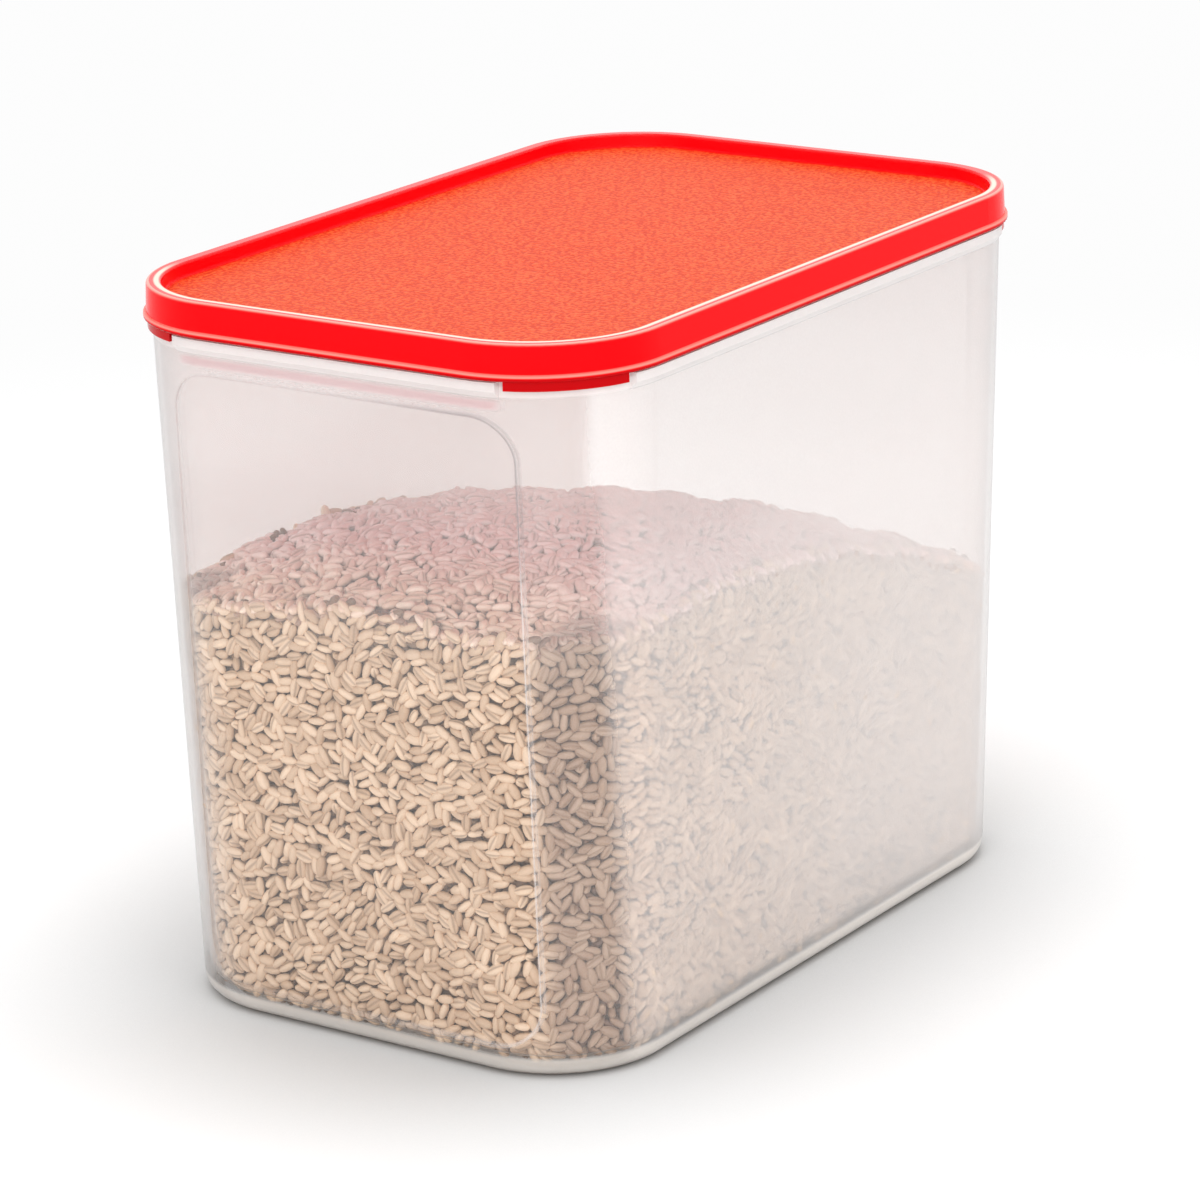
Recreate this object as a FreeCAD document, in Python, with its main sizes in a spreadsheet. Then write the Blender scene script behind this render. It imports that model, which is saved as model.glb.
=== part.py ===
import FreeCAD, Part
import math
import os

import Sketcher

# A tall storage container with rounded corners: a drafted, translucent tub with a clear window
# in each end, a press-on lid with a stacking recess, and the wheat that is kept in it.
# Millimetres. X runs across the container, Y along it, Z up, and the origin is the middle of
# the footprint on the table.

doc = FreeCAD.newDocument("storage_container")
sheet = doc.addObject("Spreadsheet::Sheet", "sizes")

SIZES = [
    # The closed container
    ("lid_width", 181.0, "across the lid's flange"),
    ("lid_length", 277.7, "along the lid's flange"),
    ("lid_corner_radius", 42.2, "flange's corner in plan"),
    ("closed_height", 230.0, "table to the lid's crest"),
    ("fit_clearance", 0.4, "gap on each side between lid and rim"),
    ("overrun", 3.0, "how far a cut runs past what it cuts"),
    # The lid
    ("skirt_height", 11.0, "flange's underside to the crest"),
    ("flange_thickness", 1.8, "height of the flange's edge"),
    ("flange_reach", 0.8, "how far the flange stands out from the band"),
    ("flange_edge_radius", 0.5, "rounding of the flange's edges"),
    ("band_lean_depth", 0.5, "how far the band leans in up to the crest"),
    ("skirt_wall", 1.6, "skirt's wall at the flange"),
    ("roof_thickness", 1.8, "crest above the tub's rim"),
    ("crest_edge_radius", 0.9, "rounding of the crest's edges"),
    ("recess_depth", 4.7, "crest down to the panel"),
    ("recess_lean_depth", 0.6, "how much the recess opens up to the crest"),
    ("recess_radius", 1.2, "rounding where the panel meets the recess wall"),
    ("panel_thickness", 1.6, "lid's flat panel"),
    ("plug_wall", 1.5, "lip that goes down inside the rim"),
    ("plug_reach", 12.0, "how deep the lip reaches below the rim's top"),
    ("tab_drop", 3.0, "how far a corner tab hangs below the flange"),
    ("tab_wall", 1.2, "thickness of a corner tab"),
    ("tab_run", 29.5, "lid's side to the end of a corner tab"),
    # The tub
    ("rim_edge_radius", 0.6, "rounding of the rim's top edges"),
    ("tub_wall", 1.8, "drafted wall and upright rim"),
    ("wall_draft", 4.3, "how much each side leans in down to the base"),
    ("base_corner_radius", 38.7, "base's corner in plan"),
    ("base_edge_radius", 6.0, "rounding under the tub"),
    ("foot_height", 3.0, "table to the underside of the floor"),
    ("foot_width", 4.0, "flat of the ring that the tub stands on"),
    ("floor_thickness", 2.0, "tub's floor"),
    ("floor_edge_radius", 5.0, "rounding inside, at the floor"),
    ("rib_gap", 0.5, "rib's top to the lid's flange"),
    ("rib_height", 2.8, "upright face of the rib"),
    ("rib_slope_height", 2.6, "sloped underside of the rib"),
    ("rib_reach", 2.2, "how far the rib stands out from the rim"),
    ("rib_end_gap", 2.0, "rib's end to the corner tab"),
    # The windows
    ("window_width", 125.0, "across the window"),
    ("window_top_margin", 6.0, "window's top to the rib"),
    ("window_foot_margin", 9.5, "table to the window's foot"),
    ("window_corner_radius", 14.0, "window's corners"),
    ("window_depth", 0.5, "how deep the window is set in"),
    # The wheat
    ("grain_clearance", 0.4, "heap's sides to the tub's wall"),
    ("mound_radius", 375.0, "curve of the heap's top"),
    ("mound_peak", 147.0, "table to the heap's highest point"),
    ("mound_shift_x", 16.0, "highest point, across from the middle"),
    ("mound_shift_y", -60.0, "highest point, along from the middle"),
]

for row, (alias, size, note) in enumerate(SIZES, start=1):
    sheet.set(f"A{row}", alias)
    sheet.set(f"B{row}", str(size))
    sheet.set(f"C{row}", note)
    sheet.setAlias(f"B{row}", alias)
doc.recompute()

# Outlines that share the lid's corner centres, named by how far each lies inside the flange's edge
FLANGE_EDGE = "0"
BAND_FOOT = "sizes.flange_reach"
BAND_CREST = f"{BAND_FOOT} + sizes.band_lean_depth"
SKIRT_INSIDE = f"{BAND_FOOT} + sizes.skirt_wall"
TAB_OUTSIDE = f"{SKIRT_INSIDE} - sizes.tab_wall"
RIM_OUTSIDE = f"{SKIRT_INSIDE} + sizes.fit_clearance"
RIB_OUTSIDE = f"{RIM_OUTSIDE} - sizes.rib_reach"
RIM_INSIDE = f"{RIM_OUTSIDE} + sizes.tub_wall"
PLUG_OUTSIDE = f"{RIM_INSIDE} + sizes.fit_clearance"
PLUG_INSIDE = f"{PLUG_OUTSIDE} + sizes.plug_wall"
RECESS_MOUTH = f"{PLUG_INSIDE} - sizes.recess_lean_depth"

# Outlines at the tub's base, named by how far each lies inside its outer face
BASE_OUTSIDE = "0"
BASE_INSIDE = "sizes.tub_wall"
FOOT_INSIDE = "sizes.base_edge_radius + sizes.foot_width"

# Heights above the table
TABLE = "0"
FLOOR_TOP = "sizes.foot_height + sizes.floor_thickness"
CREST = "sizes.closed_height"
RIM_TOP = f"{CREST} - sizes.roof_thickness"
PANEL_TOP = f"{CREST} - sizes.recess_depth"
PANEL_UNDERSIDE = f"{PANEL_TOP} - sizes.panel_thickness"
PLUG_FOOT = f"{RIM_TOP} - sizes.plug_reach"
FLANGE_FOOT = f"{CREST} - sizes.skirt_height"
FLANGE_TOP = f"{FLANGE_FOOT} + sizes.flange_thickness"
TAB_FOOT = f"{FLANGE_FOOT} - sizes.tab_drop"
RIB_TOP = f"{FLANGE_FOOT} - sizes.rib_gap"
RIB_EDGE = f"{RIB_TOP} - sizes.rib_height"
RIB_FOOT = f"{RIB_EDGE} - sizes.rib_slope_height"
WINDOW_TOP = f"{RIB_FOOT} - sizes.window_top_margin"

# Half sizes of the lid in plan
HALF_X = "sizes.lid_width / 2"
HALF_Y = "sizes.lid_length / 2"

# Points of a sketch's geometry, as the sketcher numbers them
ORIGIN_INDEX, START_INDEX, END_INDEX = -1, 1, 2
ORIGIN_POINT = (ORIGIN_INDEX, START_INDEX)

# Edges this close to a height lie at it
LEVEL_TOLERANCE = 0.001


def number(expression):
    """The present value of an expression on the sheet."""
    return float(sheet.evalExpression(expression))


def new_body(name):
    """An empty body with its label."""
    body = doc.addObject("PartDesign::Body", name)
    body.Label = name
    return body


def sketch_on(body, name, role, height=TABLE):
    """An empty sketch on one of the body's origin planes, or level with it at a height."""
    plane = next(plane for plane in body.Origin.OriginFeatures if plane.Role == role)
    sketch = body.newObject("Sketcher::SketchObject", name)
    sketch.AttachmentSupport = (plane, [""])
    sketch.MapMode = "FlatFace"
    sketch.setExpression("AttachmentOffset.Base.z", height)
    return sketch


def bind(sketch, name, expression, *constraint):
    """Add a named dimension to a sketch and tie it to the sheet."""
    index = sketch.addConstraint(Sketcher.Constraint(*constraint, number(expression)))
    sketch.renameConstraint(index, name)
    sketch.setExpression(f"Constraints.{name}", expression)


def draw_rectangle(sketch, name, left, right, low, high):
    """An upright rectangle: each side lies at its own distance along X or Y from the origin."""
    first = sketch.GeometryCount
    x_low, x_high, y_low, y_high = (number(side) for side in (left, right, low, high))
    corners = [(x_high, y_low), (x_high, y_high), (x_low, y_high), (x_low, y_low)]
    points = [FreeCAD.Vector(*corner, 0) for corner in corners]
    for side in range(4):
        sketch.addGeometry(Part.LineSegment(points[side], points[(side + 1) % 4]))
    for side in range(4):
        here = first + side
        after = first + (side + 1) % 4
        sketch.addConstraint(Sketcher.Constraint("Coincident", here, END_INDEX, after, START_INDEX))
        direction = "Horizontal" if side % 2 else "Vertical"
        sketch.addConstraint(Sketcher.Constraint(direction, here))
    bind(sketch, f"{name}_right", right, "DistanceX", *ORIGIN_POINT, first, START_INDEX)
    bind(sketch, f"{name}_high", high, "DistanceY", *ORIGIN_POINT, first + 1, START_INDEX)
    bind(sketch, f"{name}_left", left, "DistanceX", *ORIGIN_POINT, first + 2, START_INDEX)
    bind(sketch, f"{name}_low", low, "DistanceY", *ORIGIN_POINT, first + 3, START_INDEX)


def draw_rounded_rectangle(sketch, left, right, low, high, radius):
    """A rectangle with round corners: a side and the corner after it in turn, from +X onwards."""
    first = sketch.GeometryCount
    x_low, x_high, y_low, y_high = (number(side) for side in (left, right, low, high))
    corner = number(radius)
    inner_low = (x_low + corner, y_low + corner)
    inner_high = (x_high - corner, y_high - corner)
    sides = [
        ((x_high, inner_low[1]), (x_high, inner_high[1])),
        ((inner_high[0], y_high), (inner_low[0], y_high)),
        ((x_low, inner_high[1]), (x_low, inner_low[1])),
        ((inner_low[0], y_low), (inner_high[0], y_low)),
    ]
    centres = [inner_high, (inner_low[0], inner_high[1]), inner_low, (inner_high[0], inner_low[1])]
    for quarter, (side, centre) in enumerate(zip(sides, centres)):
        start, end = (FreeCAD.Vector(*point, 0) for point in side)
        circle = Part.Circle(FreeCAD.Vector(*centre, 0), FreeCAD.Vector(0, 0, 1), corner)
        angles = (quarter * math.pi / 2, (quarter + 1) * math.pi / 2)
        sketch.addGeometry(Part.LineSegment(start, end))
        sketch.addGeometry(Part.ArcOfCircle(circle, *angles))
    for piece in range(8):
        here = first + piece
        after = first + (piece + 1) % 8
        sketch.addConstraint(Sketcher.Constraint("Tangent", here, END_INDEX, after, START_INDEX))
    for side in range(4):
        direction = "Horizontal" if side % 2 else "Vertical"
        sketch.addConstraint(Sketcher.Constraint(direction, first + 2 * side))
    for other in (3, 5, 7):
        sketch.addConstraint(Sketcher.Constraint("Equal", first + 1, first + other))
    bind(sketch, "right", right, "DistanceX", *ORIGIN_POINT, first, END_INDEX)
    bind(sketch, "high", high, "DistanceY", *ORIGIN_POINT, first + 2, END_INDEX)
    bind(sketch, "left", left, "DistanceX", *ORIGIN_POINT, first + 4, END_INDEX)
    bind(sketch, "low", low, "DistanceY", *ORIGIN_POINT, first + 6, END_INDEX)
    bind(sketch, "corner", radius, "Radius", first + 1)


def outline(body, name, height, half_x, half_y, radius):
    """A rounded rectangle round the container's axis, level at a height."""
    sketch = sketch_on(body, name, "XY_Plane", height)
    draw_rounded_rectangle(sketch, f"-({half_x})", half_x, f"-({half_y})", half_y, radius)
    return sketch


def lid_outline(body, name, inset, height):
    """The lid's outline moved inwards, level at a height."""
    half_x = f"{HALF_X} - ({inset})"
    half_y = f"{HALF_Y} - ({inset})"
    return outline(body, name, height, half_x, half_y, f"sizes.lid_corner_radius - ({inset})")


def base_outline(body, name, inset, height):
    """The outline of the tub's base moved inwards, level at a height."""
    from_flange = f"{RIM_OUTSIDE} + sizes.wall_draft + ({inset})"
    half_x = f"{HALF_X} - ({from_flange})"
    half_y = f"{HALF_Y} - ({from_flange})"
    return outline(body, name, height, half_x, half_y, f"sizes.base_corner_radius - ({inset})")


def pad(body, name, sketch, length):
    """Raise a sketch upwards."""
    feature = body.newObject("PartDesign::Pad", name)
    feature.Profile = sketch
    feature.setExpression("Length", length)
    doc.recompute()


def loft(body, name, lower, upper, kind="AdditiveLoft"):
    """Join two level outlines with a straight-sided wall."""
    feature = body.newObject(f"PartDesign::{kind}", name)
    feature.Profile = lower
    feature.Sections = [upper]
    feature.Ruled = True
    doc.recompute()


def pocket(body, name, sketch, depth):
    """Cut downwards from a level sketch, and make sure that the cut took something away."""
    before = body.Shape.Volume
    feature = body.newObject("PartDesign::Pocket", name)
    feature.Profile = sketch
    feature.setExpression("Length", depth)
    doc.recompute()
    if not body.Shape.Volume < before:
        raise RuntimeError(f"{name} cuts nothing")


def round_edges(body, name, heights, radius):
    """Fillet every level edge that lies at one of the heights."""
    levels = [number(height) for height in heights]
    base = body.Tip
    names = []
    for index, edge in enumerate(base.Shape.Edges, start=1):
        box = edge.BoundBox
        if any(max(abs(box.ZMin - level), abs(box.ZMax - level)) < LEVEL_TOLERANCE for level in levels):
            names.append(f"Edge{index}")
    feature = body.newObject("PartDesign::Fillet", name)
    feature.Base = (base, names)
    feature.setExpression("Radius", radius)
    doc.recompute()


def drafted_block(body, name, inset, kind="AdditiveLoft", floor=TABLE):
    """The tub's drafted outside, moved inwards, from a floor up to the foot of the rib."""
    lower = base_outline(body, f"{name}_base", inset, floor)
    upper = lid_outline(body, f"{name}_top", f"{RIM_OUTSIDE} + ({inset})", RIB_FOOT)
    loft(body, name, lower, upper, kind)


def make_tub_shell():
    """The tub before its windows are set in: drafted wall, rib with open corners, rim and foot ring."""
    body = new_body("tub_shell")
    drafted_block(body, "outer_wall", BASE_OUTSIDE)

    rib_slope_foot = lid_outline(body, "rib_slope_foot", RIM_OUTSIDE, RIB_FOOT)
    rib_slope_edge = lid_outline(body, "rib_slope_edge", RIB_OUTSIDE, RIB_EDGE)
    loft(body, "rib_slope", rib_slope_foot, rib_slope_edge)
    rib_face = lid_outline(body, "rib_face", RIB_OUTSIDE, RIB_EDGE)
    pad(body, "rib", rib_face, "sizes.rib_height")

    rib_end_x = f"{HALF_X} - sizes.tab_run - sizes.rib_end_gap"
    rib_end_y = f"{HALF_Y} - sizes.tab_run - sizes.rib_end_gap"
    past_x = f"{HALF_X} + sizes.overrun"
    past_y = f"{HALF_Y} + sizes.overrun"
    corners = sketch_on(body, "rib_corners", "XY_Plane", RIB_TOP)
    across = {"right": (rib_end_x, past_x), "left": (f"-({past_x})", f"-({rib_end_x})")}
    along = {"far": (rib_end_y, past_y), "near": (f"-({past_y})", f"-({rib_end_y})")}
    for end, y_sides in along.items():
        for side, x_sides in across.items():
            draw_rectangle(corners, f"{end}_{side}", *x_sides, *y_sides)
    pocket(body, "rib_corner_gaps", corners, "sizes.rib_height + sizes.rib_slope_height")

    rim = lid_outline(body, "rim_outline", RIM_OUTSIDE, RIB_FOOT)
    pad(body, "rim", rim, f"{RIM_TOP} - ({RIB_FOOT})")
    round_edges(body, "base_edge", [TABLE], "sizes.base_edge_radius")

    drafted_block(body, "cavity", BASE_INSIDE, "SubtractiveLoft", FLOOR_TOP)
    mouth = lid_outline(body, "mouth_outline", RIM_INSIDE, RIM_TOP)
    pocket(body, "mouth", mouth, f"{RIM_TOP} - ({RIB_FOOT})")
    round_edges(body, "floor_edge", [FLOOR_TOP], "sizes.floor_edge_radius")
    round_edges(body, "rim_edge", [RIM_TOP], "sizes.rim_edge_radius")

    foot = base_outline(body, "foot_outline", FOOT_INSIDE, "sizes.foot_height")
    pocket(body, "foot_recess", foot, "sizes.foot_height + sizes.overrun")
    return body


def make_window_cutter():
    """The thin skin that is taken off the tub's two ends to set the windows in."""
    body = new_body("window_cutter")
    drafted_block(body, "outside", "-sizes.overrun")
    drafted_block(body, "window_face", "sizes.window_depth", "SubtractiveLoft")

    frame = sketch_on(body, "window_frame", "XZ_Plane")
    half_width = "sizes.window_width / 2"
    window = (f"-({half_width})", half_width, "sizes.window_foot_margin", WINDOW_TOP)
    draw_rounded_rectangle(frame, *window, "sizes.window_corner_radius")
    past_x = f"{HALF_X} + sizes.overrun"
    draw_rectangle(frame, "surround", f"-({past_x})", past_x, "-sizes.overrun", CREST)
    surround = body.newObject("PartDesign::Pocket", "window_surround")
    surround.Profile = frame
    surround.Type = "ThroughAll"
    surround.Midplane = True
    doc.recompute()
    return body


def make_tub():
    """The tub with both windows set in."""
    tub = doc.addObject("Part::Cut", "tub")
    tub.Base = make_tub_shell()
    tub.Tool = make_window_cutter()
    tub.Label = "tub"
    doc.recompute()
    return tub


def make_lid():
    """The lid: flange, band and crest round a channel for the rim, a sunk panel and corner tabs."""
    body = new_body("lid")
    flange = lid_outline(body, "flange_outline", FLANGE_EDGE, FLANGE_FOOT)
    pad(body, "flange", flange, "sizes.flange_thickness")
    round_edges(body, "flange_edge", [FLANGE_FOOT, FLANGE_TOP], "sizes.flange_edge_radius")
    band_foot = lid_outline(body, "band_foot", BAND_FOOT, FLANGE_FOOT)
    band_crest = lid_outline(body, "band_crest", BAND_CREST, CREST)
    loft(body, "band", band_foot, band_crest)

    tab_block = lid_outline(body, "tab_outline", TAB_OUTSIDE, TAB_FOOT)
    pad(body, "tab_block", tab_block, "sizes.tab_drop")
    tab_end_x = f"{HALF_X} - sizes.tab_run"
    tab_end_y = f"{HALF_Y} - sizes.tab_run"
    gap_depth = "sizes.tab_drop + sizes.overrun"
    end_gap = sketch_on(body, "end_gap_outline", "XY_Plane", FLANGE_FOOT)
    draw_rectangle(end_gap, "gap", f"-({tab_end_x})", tab_end_x, f"-({HALF_Y})", HALF_Y)
    pocket(body, "end_gap", end_gap, gap_depth)
    side_gap = sketch_on(body, "side_gap_outline", "XY_Plane", FLANGE_FOOT)
    draw_rectangle(side_gap, "gap", f"-({HALF_X})", HALF_X, f"-({tab_end_y})", tab_end_y)
    pocket(body, "side_gap", side_gap, gap_depth)

    skirt_inside = lid_outline(body, "skirt_inside", SKIRT_INSIDE, RIM_TOP)
    pocket(body, "skirt_hollow", skirt_inside, f"{RIM_TOP} - ({TAB_FOOT}) + sizes.overrun")
    plug = lid_outline(body, "plug_outside", PLUG_OUTSIDE, PLUG_FOOT)
    pad(body, "plug", plug, "sizes.plug_reach")
    plug_inside = lid_outline(body, "plug_inside", PLUG_INSIDE, PANEL_UNDERSIDE)
    pocket(body, "plug_hollow", plug_inside, f"{PANEL_UNDERSIDE} - ({PLUG_FOOT}) + sizes.overrun")

    panel = lid_outline(body, "panel_outline", PLUG_INSIDE, PANEL_TOP)
    recess_mouth = lid_outline(body, "recess_mouth", RECESS_MOUTH, CREST)
    loft(body, "recess", panel, recess_mouth, "SubtractiveLoft")
    round_edges(body, "panel_edge", [PANEL_TOP], "sizes.recess_radius")
    round_edges(body, "crest_edge", [CREST], "sizes.crest_edge_radius")
    return body


def make_wheat():
    """The heap of wheat: it rests on the floor, keeps off the walls and has a rounded top."""
    block = new_body("wheat_block")
    inset = f"{BASE_INSIDE} + sizes.grain_clearance"
    foot_top = f"{FLOOR_TOP} + sizes.floor_edge_radius"
    foot_lower = base_outline(block, "heap_foot_lower", f"{inset} + sizes.floor_edge_radius", FLOOR_TOP)
    foot_upper = base_outline(block, "heap_foot_upper", inset, foot_top)
    loft(block, "heap_foot", foot_lower, foot_upper)
    drafted_block(block, "heap_sides", inset, floor=foot_top)

    mound = doc.addObject("Part::Sphere", "mound")
    mound.setExpression("Radius", "sizes.mound_radius")
    mound.setExpression("Placement.Base.x", "sizes.mound_shift_x")
    mound.setExpression("Placement.Base.y", "sizes.mound_shift_y")
    mound.setExpression("Placement.Base.z", "sizes.mound_peak - sizes.mound_radius")

    wheat = doc.addObject("Part::Common", "wheat_fill")
    wheat.Base = block
    wheat.Tool = mound
    wheat.Label = "wheat_fill"
    doc.recompute()
    return wheat


def check_document(sub_parts):
    """Stop if any object failed, or if a sub-part isn't one valid solid."""
    failed = [item.Name for item in doc.Objects if {"Invalid", "Error"} & set(item.State)]
    if failed:
        raise RuntimeError(f"these objects failed: {failed}")
    for sub_part in sub_parts:
        shape = sub_part.Shape
        if shape.isNull() or not shape.isValid() or len(shape.Solids) != 1:
            raise RuntimeError(f"{sub_part.Label} isn't one valid solid")


sub_parts = [make_tub(), make_lid(), make_wheat()]
doc.recompute()
check_document(sub_parts)

os.makedirs("parts", exist_ok=True)
for sub_part in sub_parts:
    sub_part.Shape.exportStep(f"parts/{sub_part.Label}.step")
    box = sub_part.Shape.optimalBoundingBox(False)
    print(f"{sub_part.Label}: {box.XLength:.1f} x {box.YLength:.1f} x {box.ZLength:.1f} mm")
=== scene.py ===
import math

import bpy
import numpy as np
from mathutils import Matrix, Vector


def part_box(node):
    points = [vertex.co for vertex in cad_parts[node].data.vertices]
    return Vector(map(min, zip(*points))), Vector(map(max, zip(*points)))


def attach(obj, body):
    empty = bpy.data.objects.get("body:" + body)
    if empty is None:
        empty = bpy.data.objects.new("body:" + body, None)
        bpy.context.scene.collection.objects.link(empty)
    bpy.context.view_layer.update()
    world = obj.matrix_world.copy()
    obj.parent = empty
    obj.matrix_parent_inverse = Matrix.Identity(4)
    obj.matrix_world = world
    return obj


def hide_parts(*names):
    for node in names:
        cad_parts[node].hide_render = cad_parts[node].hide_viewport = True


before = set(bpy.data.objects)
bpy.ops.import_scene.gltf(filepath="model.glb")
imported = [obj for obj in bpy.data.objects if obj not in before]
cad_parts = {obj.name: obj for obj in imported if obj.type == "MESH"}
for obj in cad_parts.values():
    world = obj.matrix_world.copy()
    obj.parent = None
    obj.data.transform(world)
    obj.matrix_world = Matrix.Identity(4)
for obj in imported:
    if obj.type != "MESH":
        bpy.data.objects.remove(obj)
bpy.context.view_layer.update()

# A storage container full of wheat: red lid, frosted tub with clear windows, and loose grains.
# Metres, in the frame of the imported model: X across, Y along, Z up.

lid_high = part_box("lid")[1]
heap_low, heap_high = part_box("wheat_fill")

# The camera, fitted to the photograph's 1200 by 1200 frame
FRAME_PIXELS = 1200
FOCAL_PIXELS = 4773.7
PRINCIPAL_PIXEL = (593.9, 601.0)
CAMERA_AZIMUTH = math.radians(34.32)
CAMERA_ELEVATION = math.radians(17.28)
CAMERA_ROLL = math.radians(-1.49)
CAMERA_DISTANCE = 1.5412
CAMERA_TARGET = Vector((-0.0018, 0.0, 0.1066))
SENSOR_WIDTH = 36.0

# The tub's inner wall: its outline where the draft ends, and on the floor
FLANGE_TO_INNER_WALL = 0.0046
INNER_TOP_HALF = (lid_high.x - FLANGE_TO_INNER_WALL, lid_high.y - FLANGE_TO_INNER_WALL)
INNER_TOP_RADIUS = 0.0376
INNER_TOP_HEIGHT = 0.2131
WALL_DRAFT = 0.0043
INNER_FLOOR_HALF = (INNER_TOP_HALF[0] - WALL_DRAFT, INNER_TOP_HALF[1] - WALL_DRAFT)
INNER_FLOOR_RADIUS = 0.0369
FLOOR_HEIGHT = heap_low.z
FLOOR_EDGE_RADIUS = 0.005

# Below, a pair of places or heights gives where a fade starts and ends.

# The windows, in the plane of the container's ends, and the thin line round each, drawn grey above the
# heap as painted shade
WINDOW_HALF_WIDTH = 0.0625
WINDOW_LOW = 0.0095
WINDOW_HIGH = 0.2071
WINDOW_CORNER = 0.014
WINDOW_EDGE = (-0.0006, 0.0006)
WINDOW_LINE = (0.0002, 0.0008)
WINDOW_LINE_REACH = (0.066, 0.068)
WINDOW_LINE_RISE = (-0.02, 0.055)
WINDOW_LINE_SHADE = (0.150, 0.175)

# Zones of the tub
SOLE_TOP = (0.0008, 0.0016)
FOOT_TOP = (0.0055, 0.0075)
RIM_FOOT = (0.2133, 0.2140)
# Below the rib, a band of painted pink shade
UNDER_RIB = (0.2090, 0.2132)
RIB_REACH = (0.056, 0.060)
SIDE_EDGE = (0.0785, 0.0825)
SIDE_LENGTH = (-0.10, 0.09)
SIDE_THINNING = (0.150, 0.190)
HEAP_VEIL = (0.112, 0.150)
HEAD_SPACE_VEIL = (0.160, 0.190)

# The share of light that each of the tub's faces scatters
WINDOW_HAZE = 0.025
HEAP_HAZE = 0.08
HEAD_SPACE_HAZE = 0.12
CORNER_HAZE = 0.01
SIDE_HAZE = (0.15, 0.38)
SIDE_CLOUD_HAZE = 0.08
SIDE_TOP_SHARE = 0.40
FROST_HAZE = 0.04
FOOT_HAZE = 0.6
RIM_HAZE = 0.3
UNDER_RIB_HAZE = 0.25
WINDOW_LINE_HAZE = 0.22
WINDOW_LINE_LEAST = 0.25
WINDOW_LINE_DARKNESS = 4.5

# Detail of the finer noises; their scales, below, are in features per metre
FINE_DETAIL = 3.0

# The tub's plastic, with painted shade for the window's line and below the rib
TUB_CLEAR = (0.998, 0.990, 0.987)
TUB_WHITE = (0.96, 0.915, 0.90)
TUB_GLOW = (0.92, 0.86, 0.83)
TUB_GLOW_SHARE = 0.1
TUB_WINDOW_LINE_SHADE = (0.42, 0.40, 0.41)
TUB_UNDER_RIB_SHADE = (0.78, 0.56, 0.57)
TUB_FOOT = (0.86, 0.80, 0.74)
TUB_SOLE = (0.42, 0.32, 0.24)
FROST_SCALE = 1400
FROST_HEIGHT = 0.00008
CLOUD_SCALE = 25
WINDOW_ROUGHNESS = 0.06
FROST_ROUGHNESS = 0.36
GLOSS_POWER = 2.8
GLOSS_GAIN = 0.85
GLOSS_LEAST = 0.03

# The lid's sunk panel
PANEL_INSET = 0.0065
PANEL_HALF = (lid_high.x - PANEL_INSET, lid_high.y - PANEL_INSET)
PANEL_CORNER = 0.0357
PANEL_EDGE = (-0.0012, 0.0)
STIPPLE_SCALE = 800
STIPPLE_SPECKS = (0.44, 0.60)
STIPPLE_HEIGHT = 0.0007

# Painted highlights on the lid: lines across its crest, out from the panel's outline, and up its
# flange, with painted shade just below the flange
CREST_DEPTH = 0.0010
CREST_INNER_HIGHLIGHT = (0.0008, 0.0032)
CREST_OUTER_HIGHLIGHT = (0.0040, 0.0053)
CREST_OUTER_SOFT = 0.0004
CREST_OUTER_STRENGTH = 0.45
FLANGE_HIGHLIGHT = (0.2200, 0.2212)
FLANGE_HIGHLIGHT_STRENGTH = 0.35
UNDER_FLANGE_SHADE_SOFT = 0.0003
LIT_FRONT = (-0.112, -0.096)
LIT_RIGHT = (0.070, 0.080)

# The lid's plastic: the panel's orange partly a painted sheen, a darker red below the flange as
# painted shade, and a pale colour for the painted highlights
BAND_RED = (0.90, 0.001, 0.004)
UNDER_FLANGE_SHADE_RED = (0.52, 0.001, 0.003)
PANEL_DARK_RED = (0.70, 0.040, 0.004)
PANEL_SPECK_AND_SHEEN_RED = (0.92, 0.130, 0.030)
PAINTED_HIGHLIGHT = (1.0, 0.74, 0.60)
BAND_ROUGHNESS = 0.16
PANEL_ROUGHNESS = 0.50
BAND_SPECULAR = 0.06
PANEL_SPECULAR = 0.16
CREST_SPECULAR_GAIN = 0.25

# The heap's rounded top, and the small waves on it, with rates in radians per metre
MOUND_RADIUS = 0.375
MOUND_CENTRE = Vector((0.016, -0.060, heap_high.z - MOUND_RADIUS))
BROAD_WAVE_HEIGHT = 0.0009
BROAD_WAVE_RATES = (95, 83)
BROAD_WAVE_PHASE = 1.3
FINE_WAVE_HEIGHT = 0.0007
FINE_WAVE_RATES = (210, 170)

# The heap's dark core
CORE_DEPTH = 0.0044
CORE_STEPS = 96
CORE_LEVELS = 14
CORE_RINGS = 10

# A grain of wheat: its size, and its outline in degrees round it and in half lengths along it
GRAIN_LENGTH = 0.0064
GRAIN_WIDTH = 0.0034
GRAIN_THICKNESS = 0.0029
CREASE_RADIUS = 0.70
END_ROUNDNESS = 2.5
GERM_FULLNESS = 0.10
FINE_ANGLES = (90, 68, 25, -25, -90, 205, 155, 112)
FINE_STATIONS = (-0.94, -0.72, -0.28, 0.28, 0.72, 0.94)
PLAIN_ANGLES = (90, 30, -30, -90, 210, 150)
PLAIN_STATIONS = (-0.88, -0.45, 0.45, 0.88)

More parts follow.
